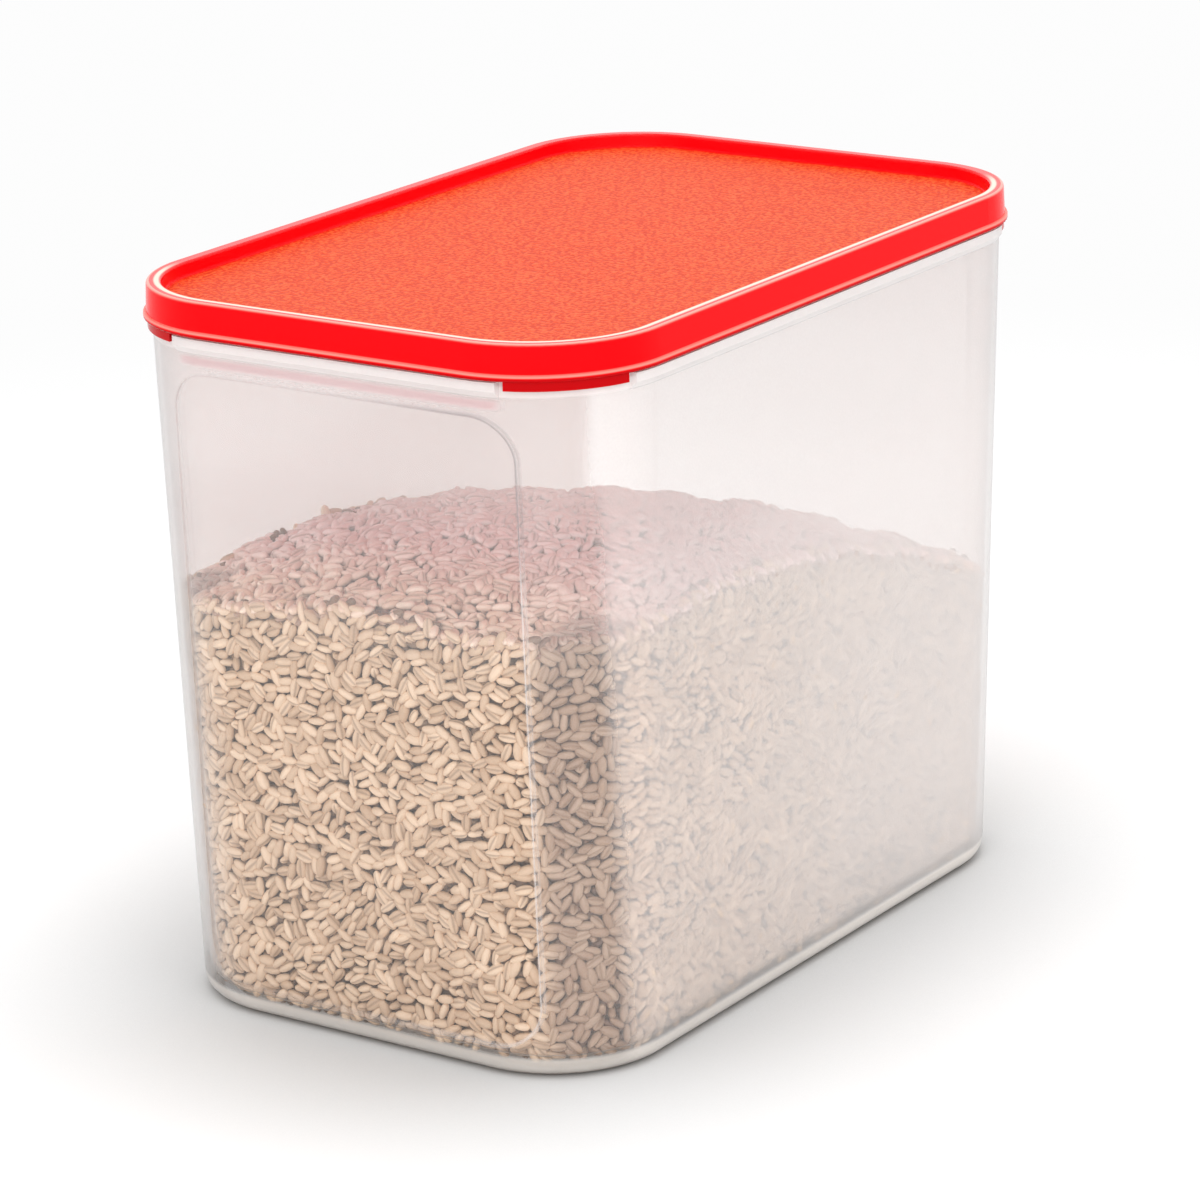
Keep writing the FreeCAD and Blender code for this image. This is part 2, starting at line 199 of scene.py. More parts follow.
# How grains lie: area for each, then spreads and limits of their turns in radians
GRAIN_GAP = 0.0001
GRAIN_SHARE = 15.5e-6
TOUCH_SHARE = 0.92
ARM_SHARES = (-0.5, 0.0, 0.5)
CROWD_ROUNDS = 50
CROWD_STEP = 0.4
SMALLEST_GAP = 1e-9
DEPTH_PLAY = 0.0007
LAYER_STEP = 0.0019
WALL_LEAN = 0.12
WALL_TURN_SPREAD = 0.75
TOP_TURN_SPREAD = 3.0
TOP_INSET = 0.6 * GRAIN_WIDTH
END_ON_SHARE = 0.12
END_ON_NOD = (0.6, 1.2)
NOD_SPREAD = 0.16
CREASE_FRONT_SHARE = 0.3
CREASE_FRONT_SPREAD = 0.5
CREASE_BACK_FROM = 0.6
SIZE_SPREAD = 0.07
WIDTH_SPREAD = 0.05
PIECE_FACES = 190000
SEED = 7

# The wheat's colours, each pair from dark to light: the grains behind and below and the core drawn
# darker as painted shade, the top grains lighter and pinker as a painted glow through the lid, and
# painted shade at the tub's corners and in the creases
WALL_TONES = ((0.57, 0.385, 0.245), (0.90, 0.70, 0.515))
BEHIND_SHADE_TONES = ((0.13, 0.075, 0.042), (0.28, 0.18, 0.11))
TOP_GLOW_TONES = ((0.74, 0.50, 0.36), (1.00, 0.82, 0.68))
BELOW_SHADE_TONES = ((0.36, 0.22, 0.16), (0.58, 0.40, 0.31))
CORE_SHADE_TONES = ((0.055, 0.028, 0.014), (0.22, 0.13, 0.07))
CORE_SPECK_SCALE = 400
CORE_ROUGHNESS = 0.9
TOP_GLOW_TINT = (0.95, 0.78, 0.80)
TOP_TINT_START = (-0.130, -0.060)
TOP_TINT_SHARE = 0.75
TOP_TINT_END = (0.02, 0.11)
TOP_TINT_LEFT = 0.35
CORNER_SHADE = (0.22, 0.12, 0.09)
CORNER_SHADE_SHARE = 0.54
CORNER_INNER_EDGE = (0.060, 0.067)
CORNER_OUTER_EDGE = (0.078, 0.082)
CORNER_ALONG = (0.095, 0.105)
CREASE_SHADE = (0.26, 0.14, 0.07)
CREASE_SHADE_SHARE = 0.6
STREAK_SCALE = 1500
STREAK_SHARE = 0.3
STREAK_HEIGHT = 0.00012
STREAK_STRENGTH = 0.6
HUSK_ROUGHNESS = 0.40
HUSK_SPECULAR = 0.5

# The stage: floor and backdrop greys, the floor's contact grey being a painted shadow, then lamps by
# name, place, size and watts
FLOOR_REACH = 6.0
FLOOR_WHITE = (0.90, 0.90, 0.90)
PAINTED_CONTACT_SHADOW_GREY = (0.36, 0.36, 0.36)
CONTACT_DISTANCE = 0.10
CONTACT_SAMPLES = 8
BACKDROP_WHITE = (0.98, 0.98, 0.98)
BACKDROP_START = (0.40, 0.90)
WORLD_STRENGTH = 1.02
LAMP_TARGET = (0, 0, 0.1)
LAMPS = (
    ("top", (0.1, 0.2, 1.7), 0.7, 5),
    ("right", (1.5, -0.9, 1.0), 1.2, 3.5),
    ("front", (0.5, -1.6, 0.9), 1.2, 6),
)


# Shader helpers

def new_material(name):
    """A material with an empty node tree and its output node."""
    material = bpy.data.materials.new(name)
    material.use_nodes = True
    tree = material.node_tree
    tree.nodes.clear()
    output = tree.nodes.new("ShaderNodeOutputMaterial")
    return material, tree, output


def connect(tree, source, socket):
    """Link a socket, or set a constant on it."""
    if isinstance(source, bpy.types.NodeSocket):
        tree.links.new(source, socket)
    else:
        socket.default_value = source


def calculate(tree, operation, *values, clamp=False):
    """A Math node on sockets or numbers."""
    node = tree.nodes.new("ShaderNodeMath")
    node.operation = operation
    node.use_clamp = clamp
    for socket, value in zip(node.inputs, values):
        connect(tree, value, socket)
    return node.outputs[0]


def multiply(tree, *values):
    """The product of sockets and numbers."""
    product = values[0]
    for value in values[1:]:
        product = calculate(tree, "MULTIPLY", product, value)
    return product


def add_up(tree, *values):
    """The sum of sockets and numbers, kept between 0 and 1."""
    total = values[0]
    for value in values[1:]:
        total = calculate(tree, "ADD", total, value, clamp=True)
    return total


def fade(tree, value, low, high, start=0.0, end=1.0):
    """A smooth step of a value from start, at low, to end, at high."""
    node = tree.nodes.new("ShaderNodeMapRange")
    node.interpolation_type = "SMOOTHSTEP"
    connect(tree, value, node.inputs["Value"])
    node.inputs["From Min"].default_value = low
    node.inputs["From Max"].default_value = high
    node.inputs["To Min"].default_value = start
    node.inputs["To Max"].default_value = end
    return node.outputs[0]


def blend_colours(tree, factor, first, second):
    """Mix two colours, given as sockets or as RGB."""
    node = tree.nodes.new("ShaderNodeMix")
    node.data_type = "RGBA"
    connect(tree, factor, node.inputs["Factor"])
    for name, colour in (("A", first), ("B", second)):
        socket = next(s for s in node.inputs if s.name == name and s.type == "RGBA")
        connect(tree, colour if isinstance(colour, bpy.types.NodeSocket) else (*colour, 1), socket)
    return next(s for s in node.outputs if s.type == "RGBA")


def noise(tree, coordinates, scale, detail=2.0):
    """A noise texture's value, with its scale in features per metre."""
    node = tree.nodes.new("ShaderNodeTexNoise")
    connect(tree, coordinates, node.inputs["Vector"])
    node.inputs["Scale"].default_value = scale
    node.inputs["Detail"].default_value = detail
    return node.outputs["Fac"]


def bump(tree, height, distance, strength=1.0):
    """A bumped normal."""
    node = tree.nodes.new("ShaderNodeBump")
    connect(tree, height, node.inputs["Height"])
    node.inputs["Distance"].default_value = distance
    node.inputs["Strength"].default_value = strength
    return node.outputs["Normal"]


def place(tree):
    """The piece's own coordinates: the vector, and X, Y and Z apart."""
    coordinates = tree.nodes.new("ShaderNodeTexCoord").outputs["Object"]
    parts = tree.nodes.new("ShaderNodeSeparateXYZ")
    tree.links.new(coordinates, parts.inputs[0])
    return coordinates, parts.outputs["X"], parts.outputs["Y"], parts.outputs["Z"]


def between(tree, value, limits):
    """One between two limits, zero outside, with a short fade at each."""
    soft = (limits[1] - limits[0]) / 3
    rise = fade(tree, value, limits[0], limits[0] + soft)
    return multiply(tree, rise, fade(tree, value, limits[1] - soft, limits[1], 1.0, 0.0))


def outline_distance(tree, across, along, half, radius):
    """How far a point lies outside a rounded rectangle centred on zero; negative inside."""
    past = []
    for value, size in zip((across, along), half):
        reach = calculate(tree, "SUBTRACT", calculate(tree, "ABSOLUTE", value), size - radius)
        past.append(calculate(tree, "MAXIMUM", reach, 0.0))
    squares = calculate(tree, "ADD", *(calculate(tree, "MULTIPLY", p, p) for p in past))
    return calculate(tree, "SUBTRACT", calculate(tree, "SQRT", squares), radius)


def shader(tree, kind, **sockets):
    """A shader node with its sockets set by name, underscores for spaces."""
    node = tree.nodes.new(kind)
    for name, value in sockets.items():
        connect(tree, value, node.inputs[name.replace("_", " ")])
    return node


def mix_shaders(tree, factor, first, second):
    """A Mix Shader of two shaders."""
    node = tree.nodes.new("ShaderNodeMixShader")
    connect(tree, factor, node.inputs[0])
    tree.links.new(first, node.inputs[1])
    tree.links.new(second, node.inputs[2])
    return node.outputs[0]


# Materials

def painted_lid_highlights(tree, edge, crest, x, y, z):
    """Painted highlights: bright lines along the crest and the flange, on the two sides that the light
    meets.
    """
    inner_highlight = between(tree, edge, CREST_INNER_HIGHLIGHT)
    outer_highlight = multiply(tree, between(tree, edge, CREST_OUTER_HIGHLIGHT), CREST_OUTER_STRENGTH)
    crest_highlight = multiply(tree, calculate(tree, "MAXIMUM", inner_highlight, outer_highlight), crest)
    outside = fade(tree, edge, CREST_OUTER_HIGHLIGHT[1], CREST_OUTER_HIGHLIGHT[1] + CREST_OUTER_SOFT)
    flange_highlight = multiply(tree, between(tree, z, FLANGE_HIGHLIGHT), outside, FLANGE_HIGHLIGHT_STRENGTH)
    front = fade(tree, y, *LIT_FRONT, 1.0, 0.0)
    lit = calculate(tree, "MAXIMUM", front, fade(tree, x, *LIT_RIGHT))
    return multiply(tree, calculate(tree, "MAXIMUM", crest_highlight, flange_highlight), lit)


def lid_material():
    """Red plastic: a band with painted highlight lines and painted shade along its low edge, and a
    stippled orange panel, its orange partly a painted sheen.
    """
    material, tree, output = new_material("lid_red_plastic")
    coordinates, x, y, z = place(tree)
    edge = outline_distance(tree, x, y, PANEL_HALF, PANEL_CORNER)
    panel = fade(tree, edge, *PANEL_EDGE, 1.0, 0.0)
    crest = fade(tree, z, lid_high.z - CREST_DEPTH, lid_high.z)
    stipple = noise(tree, coordinates, STIPPLE_SCALE, FINE_DETAIL)
    speck = fade(tree, stipple, *STIPPLE_SPECKS)
    # The panel's orange and light specks are partly its stipple and partly a painted sheen
    panel_red = blend_colours(tree, speck, PANEL_DARK_RED, PANEL_SPECK_AND_SHEEN_RED)
    red = blend_colours(tree, panel, BAND_RED, panel_red)
    # Painted shade: a darker red below the flange's highlight line
    under_flange_shade = fade(tree, z, FLANGE_HIGHLIGHT[0] - UNDER_FLANGE_SHADE_SOFT, FLANGE_HIGHLIGHT[0], 1.0, 0.0)
    red = blend_colours(tree, under_flange_shade, red, UNDER_FLANGE_SHADE_RED)
    # Painted highlights along the crest and the flange
    red = blend_colours(tree, painted_lid_highlights(tree, edge, crest, x, y, z), red, PAINTED_HIGHLIGHT)
    rough = calculate(tree, "MULTIPLY_ADD", panel, PANEL_ROUGHNESS - BAND_ROUGHNESS, BAND_ROUGHNESS)
    shine = calculate(tree, "MULTIPLY_ADD", panel, PANEL_SPECULAR - BAND_SPECULAR, BAND_SPECULAR)
    shine = calculate(tree, "MULTIPLY_ADD", crest, CREST_SPECULAR_GAIN, shine)
    plastic = shader(
        tree, "ShaderNodeBsdfPrincipled",
        Base_Color=red,
        Roughness=rough,
        Specular_IOR_Level=shine,
        Normal=bump(tree, multiply(tree, stipple, panel), STIPPLE_HEIGHT),
    )
    tree.links.new(plastic.outputs[0], output.inputs["Surface"])
    return material


def window_distance(tree, x, z):
    """How far a point of an end wall lies outside its window; negative inside."""
    middle = (WINDOW_LOW + WINDOW_HIGH) / 2
    half = (WINDOW_HALF_WIDTH, (WINDOW_HIGH - WINDOW_LOW) / 2)
    return outline_distance(tree, x, calculate(tree, "SUBTRACT", z, middle), half, WINDOW_CORNER)


def window_line(tree, edge, x, across):
    """The thin line round a window, stronger on one side; its grey above the heap is painted shade."""
    line = fade(tree, calculate(tree, "ABSOLUTE", edge), *WINDOW_LINE, WINDOW_LINE_HAZE, 0.0)
    on_end = fade(tree, across, *WINDOW_LINE_REACH, 1.0, 0.0)
    return multiply(tree, line, on_end, fade(tree, x, *WINDOW_LINE_RISE, WINDOW_LINE_LEAST, 1.0))


def side_haze(tree, coordinates, across, y, z):
    """Haze of the long sides: cloudy, denser to the back and thinner above the heap."""
    side = fade(tree, across, *SIDE_EDGE)
    cloud = noise(tree, coordinates, CLOUD_SCALE, FINE_DETAIL)
    far_end = fade(tree, y, *SIDE_LENGTH, *SIDE_HAZE)
    haze = calculate(tree, "MULTIPLY_ADD", cloud, SIDE_CLOUD_HAZE, far_end)
    return multiply(tree, side, haze, fade(tree, z, *SIDE_THINNING, 1.0, SIDE_TOP_SHARE))


def edge_haze(tree, foot, line, z):
    """Haze of the foot, the rim and the window's line."""
    rim = multiply(tree, fade(tree, z, *RIM_FOOT), RIM_HAZE)
    ends = calculate(tree, "MULTIPLY_ADD", foot, FOOT_HAZE, rim)
    return calculate(tree, "MAXIMUM", ends, line)


def tub_colour(tree, foot, line, under_rib_shade, z):
    """Colour of the light that the tub scatters, with painted shade on the window's line and a painted
    pink shade below the rib.
    """
    # Painted shade: the window's line drawn grey above the heap
    shade = multiply(tree, line, WINDOW_LINE_DARKNESS, fade(tree, z, *WINDOW_LINE_SHADE))
    white = blend_colours(tree, shade, TUB_WHITE, TUB_WINDOW_LINE_SHADE)
    # Painted pink shade below the rib
    white = blend_colours(tree, under_rib_shade, white, TUB_UNDER_RIB_SHADE)
    sole = fade(tree, z, *SOLE_TOP, 1.0, 0.0)
    pale = blend_colours(tree, sole, TUB_FOOT, TUB_SOLE)
    return blend_colours(tree, foot, white, pale)


def grazing_shine(tree):
    """The share that a surface reflects, which grows as it turns away."""
    facing = tree.nodes.new("ShaderNodeLayerWeight")
    facing.inputs["Blend"].default_value = 0.5
    grazing = calculate(tree, "POWER", facing.outputs["Facing"], GLOSS_POWER)
    return calculate(tree, "MULTIPLY_ADD", grazing, GLOSS_GAIN, GLOSS_LEAST)


def tub_material():
    """Translucent plastic: clear in the windows, half clear at the corners, frosted elsewhere.

    Light that casts shadows passes through it, except through the foot.
    """
    material, tree, output = new_material("tub_translucent_plastic")
    coordinates, x, y, z = place(tree)
    across = calculate(tree, "ABSOLUTE", x)
    edge = window_distance(tree, x, z)
    around = fade(tree, edge, *WINDOW_EDGE)
    line = window_line(tree, edge, x, across)
    foot = fade(tree, z, *FOOT_TOP, 1.0, 0.0)
    # Painted shade below the rib, in both colour and haze
    under_rib_shade = multiply(tree, between(tree, z, UNDER_RIB), fade(tree, across, *RIB_REACH, 1.0, 0.0))
    frost = multiply(tree, noise(tree, coordinates, FROST_SCALE), around)
    haze = add_up(
        tree,
        multiply(tree, around, CORNER_HAZE),
        multiply(tree, frost, FROST_HAZE),
        side_haze(tree, coordinates, across, y, z),
        edge_haze(tree, foot, line, z),
        fade(tree, z, *HEAP_VEIL, WINDOW_HAZE, HEAP_HAZE),
        fade(tree, z, *HEAD_SPACE_VEIL, 0.0, HEAD_SPACE_HAZE),
        multiply(tree, under_rib_shade, UNDER_RIB_HAZE),
    )
    normal = bump(tree, frost, FROST_HEIGHT)
    colour = tub_colour(tree, foot, line, under_rib_shade, z)
    clear = shader(tree, "ShaderNodeBsdfTransparent", Color=(*TUB_CLEAR, 1)).outputs[0]
    milk = shader(tree, "ShaderNodeBsdfDiffuse", Color=colour, Normal=normal)
    glow = shader(tree, "ShaderNodeBsdfTranslucent", Color=(*TUB_GLOW, 1))
    scatter = mix_shaders(tree, TUB_GLOW_SHARE, milk.outputs[0], glow.outputs[0])
    rougher = FROST_ROUGHNESS - WINDOW_ROUGHNESS
    rough = calculate(tree, "MULTIPLY_ADD", around, rougher, WINDOW_ROUGHNESS)
    gloss = shader(tree, "ShaderNodeBsdfGlossy", Roughness=rough, Normal=normal)
    body = mix_shaders(tree, haze, clear, scatter)
    surface = mix_shaders(tree, grazing_shine(tree), body, gloss.outputs[0])
    shadow = tree.nodes.new("ShaderNodeLightPath").outputs["Is Shadow Ray"]
    passes = multiply(tree, shadow, calculate(tree, "SUBTRACT", 1.0, foot))
    tree.links.new(mix_shaders(tree, passes, surface, clear), output.inputs["Surface"])
    return material


def grain_tone(tree, tones, streak):
    """A tone for each grain, between two, with fine lighter streaks."""
    low_tone, high_tone = tones
    island = tree.nodes.new("ShaderNodeNewGeometry").outputs["Random Per Island"]
    ramp = tree.nodes.new("ShaderNodeValToRGB")
    tree.links.new(island, ramp.inputs[0])
    ramp.color_ramp.elements[0].color = (*low_tone, 1)
    ramp.color_ramp.elements[1].color = (*high_tone, 1)
    return blend_colours(tree, multiply(tree, streak, STREAK_SHARE), ramp.outputs[0], high_tone)


def corner_zone(tree, x, y):
    """One at the tub's upright corners, zero along its walls."""
    across = calculate(tree, "ABSOLUTE", x)
    along = calculate(tree, "ABSOLUTE", y)
    inner = fade(tree, across, *CORNER_INNER_EDGE)
    outer = fade(tree, across, *CORNER_OUTER_EDGE, 1.0, 0.0)
    return multiply(tree, inner, outer, fade(tree, along, *CORNER_ALONG))


def grain_material(name, tones, tint=None):
    """Wheat: skin that differs from grain to grain, with painted shade in the crease and at the tub's
    corners.

    A tint, a painted pink glow of light through the lid, colours the middle of the heap.
    """
    material, tree, output = new_material(name)
    coordinates, x, y, z = place(tree)
    streak = noise(tree, coordinates, STREAK_SCALE, FINE_DETAIL)
    skin = grain_tone(tree, tones, streak)
    # Painted pink glow of light through the lid, on the middle of the heap's top
    if tint:
        start = fade(tree, y, *TOP_TINT_START, 0.0, TOP_TINT_SHARE)
        share = multiply(tree, start, fade(tree, y, *TOP_TINT_END, 1.0, TOP_TINT_LEFT))
        skin = blend_colours(tree, share, skin, tint)
    # Painted shade on the grains at the tub's corners
    corner = multiply(tree, corner_zone(tree, x, y), CORNER_SHADE_SHARE)
    skin = blend_colours(tree, corner, skin, CORNER_SHADE)
    # Painted shade in each grain's crease
    crease = tree.nodes.new("ShaderNodeAttribute")
    crease.attribute_name = "crease"
    dark = multiply(tree, crease.outputs["Fac"], CREASE_SHADE_SHARE)
    husk = shader(
        tree, "ShaderNodeBsdfPrincipled",
        Base_Color=blend_colours(tree, dark, skin, CREASE_SHADE),
        Roughness=HUSK_ROUGHNESS,
        Specular_IOR_Level=HUSK_SPECULAR,
        Normal=bump(tree, streak, STREAK_HEIGHT, STREAK_STRENGTH),
    )
    tree.links.new(husk.outputs[0], output.inputs["Surface"])
    return material


def core_material():
    """The painted shade between the grains."""
    material, tree, output = new_material("wheat_shade")
    coordinates = place(tree)[0]
    speck = noise(tree, coordinates, CORE_SPECK_SCALE, FINE_DETAIL)
    shade = shader(
        tree, "ShaderNodeBsdfPrincipled",
        Base_Color=blend_colours(tree, speck, *CORE_SHADE_TONES),
        Roughness=CORE_ROUGHNESS,
    )
    tree.links.new(shade.outputs[0], output.inputs["Surface"])
    return material


# Grains of wheat

def grain_shape(angles, stations):
    """Points, faces and crease of one grain: long axis on X, crease towards +Z, unit half sizes."""
    around = [math.radians(angle) for angle in angles]
    points = [(-1.0, 0.0, 0.0)]
    crease = [0.0]
    for station in stations:
        girth = (1 - abs(station) ** END_ROUNDNESS) ** 0.5 * (1 + GERM_FULLNESS * station)
        for number, angle in enumerate(around):
            radius = girth * (CREASE_RADIUS if number == 0 else 1.0)
            points.append((station, radius * math.cos(angle), radius * math.sin(angle)))
            crease.append(1.0 if number == 0 else 0.0)
    points.append((1.0, 0.0, 0.0))
    crease.append(0.0)
    count = len(around)
    last = len(points) - 1
    faces = []
    for k in range(count):
        after = (k + 1) % count
        faces.append((0, 1 + k, 1 + after))
        faces.append((last, last - count + after, last - count + k))
        for ring in range(len(stations) - 1):
            here = 1 + ring * count
            there = here + count
            faces.append((here + k, there + after, here + after))
            faces.append((here + k, there + k, there + after))
    return np.array(points), np.array(faces), np.array(crease)


def near_pairs(u, v, width, reach):
    """Index pairs of points closer than about reach on a sheet that wraps across its width."""
    columns = int(width / reach)
    column = np.floor(u / width * columns).astype(int) % columns
    row = np.floor(v / reach).astype(int)
    row -= row.min() - 1
    rows = row.max() + 2
    cell = column * rows + row
    order = np.argsort(cell, kind="stable")
    ordered = cell[order]
    firsts = []
    seconds = []
    for across, up in ((0, 0), (0, 1), (1, -1), (1, 0), (1, 1)):
        wanted = (column + across) % columns * rows + row + up
        start = np.searchsorted(ordered, wanted, "left")
        counts = np.searchsorted(ordered, wanted, "right") - start
        first = np.repeat(np.arange(len(u)), counts)
        step = np.arange(len(first)) - np.repeat(np.cumsum(counts) - counts, counts)
        second = order[np.repeat(start, counts) + step]
        if (across, up) == (0, 0):
            kept = first < second
            first = first[kept]
            second = second[kept]
        firsts.append(first)
        seconds.append(second)
    return np.concatenate(firsts), np.concatenate(seconds)


def crowd(chooser, count, width, low, high, lean, spread, hold=None):
    """Grains pressed side by side on a flat sheet: their places and turns, from a random start.

    Each grain is three circles in a row; circles that overlap push their grains apart.
    """
    u = chooser.uniform(0, width, count)
    v = chooser.uniform(low, high, count)
    turn = chooser.normal(lean, spread, count)
    arms = np.array(ARM_SHARES) * GRAIN_LENGTH / 2
    owner = np.repeat(np.arange(count), len(arms))
    touch = GRAIN_WIDTH * TOUCH_SHARE
    for _ in range(CROWD_ROUNDS):
        arm_u = arms * np.cos(turn)[:, None]
        arm_v = arms * np.sin(turn)[:, None]
        circle_u = (u[:, None] + arm_u).ravel()
        circle_v = (v[:, None] + arm_v).ravel()
        first, second = near_pairs(circle_u, circle_v, width, touch)
        apart_u = circle_u[first] - circle_u[second]
        apart_u -= width * np.round(apart_u / width)
        apart_v = circle_v[first] - circle_v[second]
        gap = np.hypot(apart_u, apart_v) + SMALLEST_GAP
        pressed = (gap < touch) & (owner[first] != owner[second])
        first = first[pressed]
        second = second[pressed]
        push = 0.5 * (touch - gap[pressed]) / gap[pressed]
        push_u = push * apart_u[pressed]
        push_v = push * apart_v[pressed]
        total = len(owner)
        force_u = np.bincount(first, push_u, total) - np.bincount(second, push_u, total)
        force_v = np.bincount(first, push_v, total) - np.bincount(second, push_v, total)
        force_u = force_u.reshape(count, -1)
        force_v = force_v.reshape(count, -1)
        twist = (arm_u * force_v - arm_v * force_u).sum(axis=1)
        u = (u + CROWD_STEP * force_u.sum(axis=1)) % width
        v = np.clip(v + CROWD_STEP * force_v.sum(axis=1), low, high)
        turn = turn + CROWD_STEP * twist / (2 * arms[0] ** 2)
        if hold:
            u, v = hold(u, v)
    return u, v, turn


def outline_point(half, radius, piece, share):
    """A point and outward normal of a rounded rectangle: sides 0, 2, 4 and 6, a corner after each."""
    x = half[0] - radius
    y = half[1] - radius
    corners = [(x, y), (-x, y), (-x, -y), (x, -y)]
    quarter = piece // 2
    start = quarter * math.pi / 2
    centre = corners[quarter]
    if piece % 2:
        angle = start + share * math.pi / 2
        normal = (math.cos(angle), math.sin(angle))
        base = centre
    else:
        before = corners[quarter - 1]
        normal = (math.cos(start), math.sin(start))
        base = tuple(b + share * (c - b) for b, c in zip(before, centre))
    point = tuple(b + radius * n for b, n in zip(base, normal))
    return Vector(point), Vector(normal)


def outline_lengths(half, radius):
    """Lengths of the eight pieces of a rounded rectangle."""
    x = 2 * (half[0] - radius)
    y = 2 * (half[1] - radius)
    corner = radius * math.pi / 2
    return [y, corner, x, corner, y, corner, x, corner]


def wall_point(distance, height):
    """The inner wall's point and outward normal at a distance round the tub and a height."""
    lengths = outline_lengths(INNER_TOP_HALF, INNER_TOP_RADIUS)
    piece = 0
    while piece < 7 and distance > lengths[piece]:
        distance -= lengths[piece]
        piece += 1
    share = min(distance / lengths[piece], 1.0)
    top, normal = outline_point(INNER_TOP_HALF, INNER_TOP_RADIUS, piece, share)
    floor, normal = outline_point(INNER_FLOOR_HALF, INNER_FLOOR_RADIUS, piece, share)
    rise = (height - FLOOR_HEIGHT) / (INNER_TOP_HEIGHT - FLOOR_HEIGHT)
    point = floor.lerp(top, rise)
    below = max(FLOOR_EDGE_RADIUS - (height - FLOOR_HEIGHT), 0.0)
    inset = FLOOR_EDGE_RADIUS - math.sqrt(max(FLOOR_EDGE_RADIUS ** 2 - below ** 2, 0.0))
    return point - normal * inset, normal


def mound_height(x, y):
    """The heap's top, with the small unevenness of poured grain."""
    flat = (x - MOUND_CENTRE.x) ** 2 + (y - MOUND_CENTRE.y) ** 2
    broad_x, broad_y = BROAD_WAVE_RATES
    fine_x, fine_y = FINE_WAVE_RATES
    broad = BROAD_WAVE_HEIGHT * math.sin(x * broad_x + BROAD_WAVE_PHASE) * math.sin(y * broad_y)
    fine = FINE_WAVE_HEIGHT * math.sin(x * fine_x + y * fine_y)
    return MOUND_CENTRE.z + math.sqrt(MOUND_RADIUS ** 2 - flat) + (broad + fine)


def lay_grain(chooser, surface, normal, along, depth):
    """One grain that touches a surface from behind: its centre and its scaled axes."""
    if chooser.random() < END_ON_SHARE:
        nod = chooser.uniform(*END_ON_NOD)
    else:
        nod = chooser.normal(0, NOD_SPREAD)
    if chooser.random() < CREASE_FRONT_SHARE:
        roll = chooser.normal(0, CREASE_FRONT_SPREAD)
    else:
        roll = chooser.uniform(CREASE_BACK_FROM, 2 * math.pi - CREASE_BACK_FROM)
    size = chooser.normal(1, SIZE_SPREAD)
    width = GRAIN_WIDTH * chooser.normal(1, WIDTH_SPREAD)
    half = Vector((GRAIN_LENGTH, width, GRAIN_THICKNESS)) * size / 2
    axes = Matrix((along, normal.cross(along), normal)).transposed()
    axes = axes @ Matrix.Rotation(nod, 3, "Y") @ Matrix.Rotation(roll, 3, "X")
    thick = max(half.y * abs(math.sin(roll)), half.z * abs(math.cos(roll)))
    reach = math.hypot(half.x * math.sin(nod), thick * math.cos(nod))
    return surface - normal * (reach + depth), axes @ Matrix.Diagonal(half)


def wall_grains(chooser, layer):
    """Grains that press against the tub's wall, or lie one layer behind those."""
    around = sum(outline_lengths(INNER_TOP_HALF, INNER_TOP_RADIUS))
    low = FLOOR_HEIGHT + GRAIN_THICKNESS / 2
    count = int(around * (heap_high.z - low) / GRAIN_SHARE)
    grains = []
    places = crowd(chooser, count, around, low, heap_high.z, WALL_LEAN, WALL_TURN_SPREAD)
    for distance, height, turn in sorted(zip(*places)):
        point, outward = wall_point(distance, height)
        if height > mound_height(point.x, point.y):
            continue
        normal = Vector((*outward, 0))
        tangent = Vector((-outward.y, outward.x, 0))
        along = tangent * math.cos(turn) + Vector((0, 0, math.sin(turn)))
        depth = GRAIN_GAP + layer * LAYER_STEP + chooser.uniform(0, DEPTH_PLAY)
        grains.append(lay_grain(chooser, Vector((*point, height)), normal, along, depth))
    return grains


def top_grains(chooser, layer):
    """Grains on the heap's rounded top."""
    half_x, half_y = (size + WALL_DRAFT / 2 - TOP_INSET for size in INNER_FLOOR_HALF)
    margin = 2 * GRAIN_LENGTH
    corner = INNER_FLOOR_RADIUS

    def keep_inside(u, v):
        x = u - margin - half_x
        past_x = np.maximum(np.abs(x) - half_x + corner, 0)
        past_y = np.maximum(np.abs(v) - half_y + corner, 0)
        far = np.maximum(np.hypot(past_x, past_y) / corner, 1.0)
        x -= np.sign(x) * (past_x - past_x / far)
        v = v - np.sign(v) * (past_y - past_y / far)
        return x + margin + half_x, v

    count = int(4 * half_x * half_y / GRAIN_SHARE)
    width = 2 * (half_x + margin)
    places = crowd(chooser, count, width, -half_y, half_y, 0.0, TOP_TURN_SPREAD, keep_inside)
    grains = []
    for across, y, turn in zip(*places):
        x = across - margin - half_x
        surface = Vector((x, y, mound_height(x, y)))
        normal = (surface - MOUND_CENTRE).normalized()
        along = Vector((math.cos(turn), math.sin(turn), 0))
        along = (along - normal * along.dot(normal)).normalized()
        depth = layer * LAYER_STEP + chooser.uniform(-DEPTH_PLAY, DEPTH_PLAY)
        grains.append(lay_grain(chooser, surface, normal, along, depth))
    return grains


